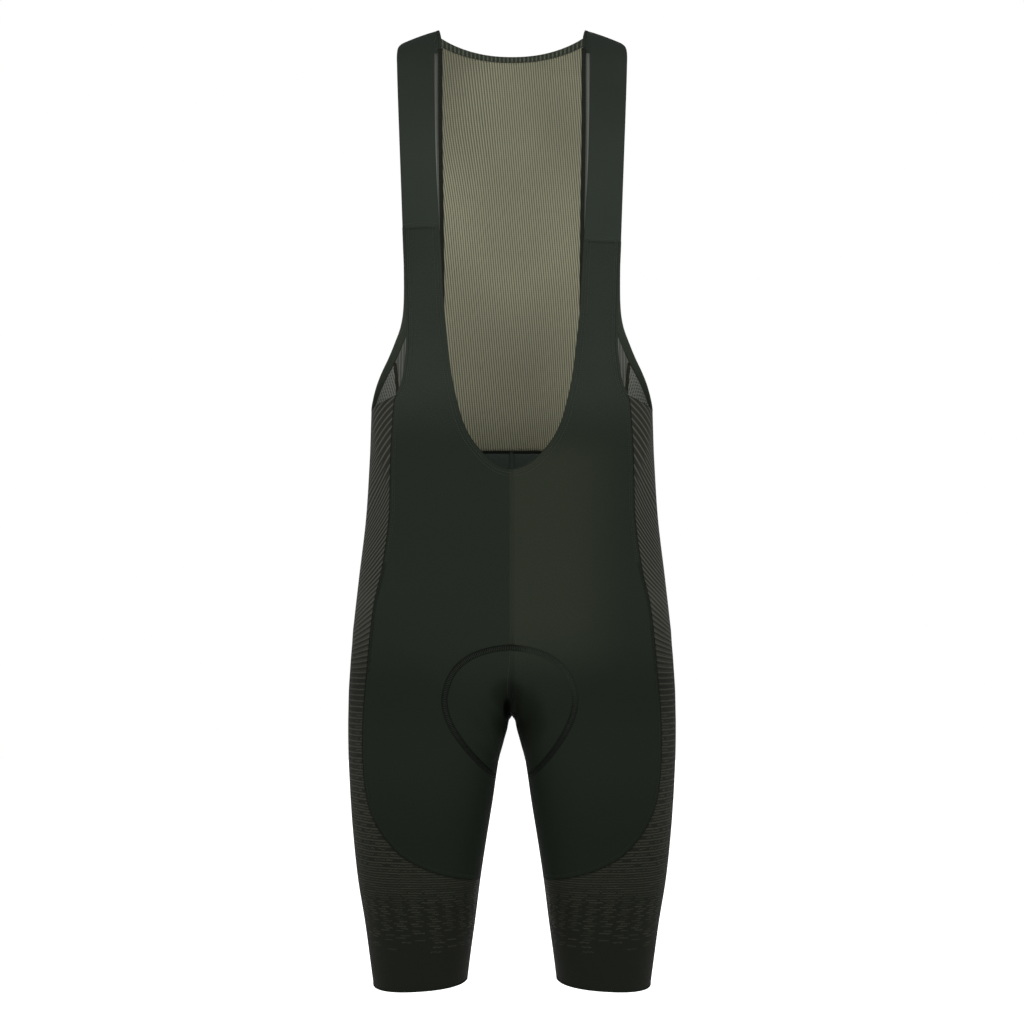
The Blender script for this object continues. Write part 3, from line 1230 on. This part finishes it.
def pad_grid(outline, side, mirror):
    rise_part = rise_edge(outline[0][1], side, PAD_RISE_ROWS)
    inner_part = np.concatenate(
        [rise_part[-1:], inseam_edge(side, outline[-1][1], PAD_INSEAM_ROWS)])
    middle = along_edge([rise_part, inner_part], PAD_ROWS + 1)
    edge = edge_of(outline, PAD_ROWS, side)
    edge[0], edge[-1] = middle[0], middle[-1]
    u = even(PAD_COLUMNS)[None]
    grid = lerp(middle[:, None], edge[:, None], u[..., None])
    ends = np.minimum(even(PAD_ROWS), 1 - even(PAD_ROWS))[:, None] * PAD_END_SLOPE
    plump = np.sin(np.clip(np.minimum(ends, (1 - u) * PAD_SIDE_SLOPE), 0, 1) * np.pi / 2)
    # One sewn channel halfway out, and one along the middle
    channel = np.exp(-((u - 0.5) / 0.035) ** 2) * 0.45 + np.exp(-(u / 0.03) ** 2) * 0.35
    thick = PAD_EDGE + (PAD_FULL - PAD_EDGE) * plump * (1 - channel * (plump > 0.3))
    grid = own_grid(on_grid(grid), out=-(CLOTH + PAD_GAP),
                    inward=thick + CLOTH + PAD_GAP)
    if mirror:
        grid["p"], grid["n"] = grid["p"] * (-1, 1, 1), grid["n"] * (-1, 1, 1)
    return grid


pad = dress(shell("Seat_Pad", "", [pad_grid(outline, side, mirror) for mirror in (False, True)
                                   for outline, side in ((PAD_FRONT, FRONT), (PAD_BACK, BACK))],
                  inset=0.0), "pad_foam", True)

# The pad shows outside as a sewn outline with cross stitches. In front it sits a little to the
# wearer's right of the middle
for label, sign, joint_z in SIDES:
    x, z = along(PAD_FRONT, even(90)).T
    free = ease((z - PAD_FRONT[-1][1]) / 60)
    ahead = laid(at_x(x * (1 + RING_GROWTH * free) + sign * RING_SHIFT * free
                      + RING_SPREAD * (1 - free), z + 1 - RING_DROP * (1 - free), FRONT))
    behind = seam_line(edge_of(PAD_BACK, 90, BACK))
    for base, line in (("Pad_Outline_Front", ahead), ("Pad_Outline_Back", behind)):
        line = resampled(*line, 2.5)
        tape(base, label, line, flat_band(-3.2, 3.2, 0.35), "pad_tape")
        sew(base + "_Stitches", label, [(*line, 0.0, 0.42, 1.9, 5.2, 0.36, 88)], "pad_thread")

# The leg hem is turned in
for label, sign, joint_z in SIDES:
    ring = np.linspace(-180, 180, 220)
    tape("Leg_Hem", label, laid(at_angle(ring, hem_z(ring) + 0.4)), [
        (-0.2, -0.6), (-0.2, 0.1), (0.4, 0.35), (1.6, 0.3), (2.2, 0.05), (2.2, -0.6)],
        "lycra")

# Camera, light and floor, in metres

CAMERA_DISTANCE, CAMERA_HEIGHT, PHOTO_WIDTH = 3.5, -0.5167, 1.116
FLOOR_Z = -1.25

scene = bpy.context.scene
camera = bpy.data.objects.new("Camera", bpy.data.cameras.new("Camera"))
scene.collection.objects.link(camera)
camera.location = (0, -CAMERA_DISTANCE, CAMERA_HEIGHT)
camera.rotation_euler = (math.radians(90), 0, 0)
camera.data.lens = 36 * CAMERA_DISTANCE / PHOTO_WIDTH
camera.data.sensor_width = 36
camera.data.clip_end = 60
scene.camera = camera

scene.view_settings.view_transform = "Standard"
world = bpy.data.worlds.new("World")
world.use_nodes = True
sky = world.node_tree
sky.nodes["Background"].inputs["Color"].default_value = (1, 1, 1, 1)
sky_way = sky.nodes.new("ShaderNodeTexCoord")
sky_height = sky.nodes.new("ShaderNodeSeparateXYZ")
sky_shade = sky.nodes.new("ShaderNodeMapRange")
for key, value in (("From Min", 0.25), ("From Max", 0.9), ("To Min", 1.0), ("To Max", 0.4)):
    sky_shade.inputs[key].default_value = value
sky.links.new(sky_way.outputs["Generated"], sky_height.inputs[0])
sky.links.new(sky_height.outputs[2], sky_shade.inputs["Value"])
sky.links.new(sky_shade.outputs[0], sky.nodes["Background"].inputs["Strength"])
scene.world = world

for name, place, turn, power in (
        ("Key", (-1.2, -2.6, 1.6), (52, 0, -24), 9.5),
        ("Fill", (1.6, -2.4, 0.6), (68, 0, 34), 5.5),
        ("Back", (0.0, 2.4, 1.2), (-60, 0, 0), 10)):
    light = bpy.data.lights.new(name, "AREA")
    light.size, light.energy = 1.8, power
    lamp = bpy.data.objects.new(name, light)
    lamp.location = place
    lamp.rotation_euler = tuple(math.radians(a) for a in turn)
    scene.collection.objects.link(lamp)

floor_mesh = bpy.data.meshes.new("Floor")
floor_mesh.from_pydata([(x, y, FLOOR_Z) for x, y in ((-7, -6), (7, -6), (7, 6), (-7, 6))], [],
                       [(0, 1, 2, 3)])
floor = bpy.data.objects.new("Floor", floor_mesh)
scene.collection.objects.link(floor)
paper = Nodes("floor_paper")
shade = paper.mix(paper.noise(paper.place, 3.0), (0.97, 0.97, 0.97, 1), (1, 1, 1, 1))
floor_mesh.materials.append(paper.finish(shade, 0.95, 0.0))
paper.shader.inputs["Emission Color"].default_value = (1, 1, 1, 1)
paper.shader.inputs["Emission Strength"].default_value = 0.8
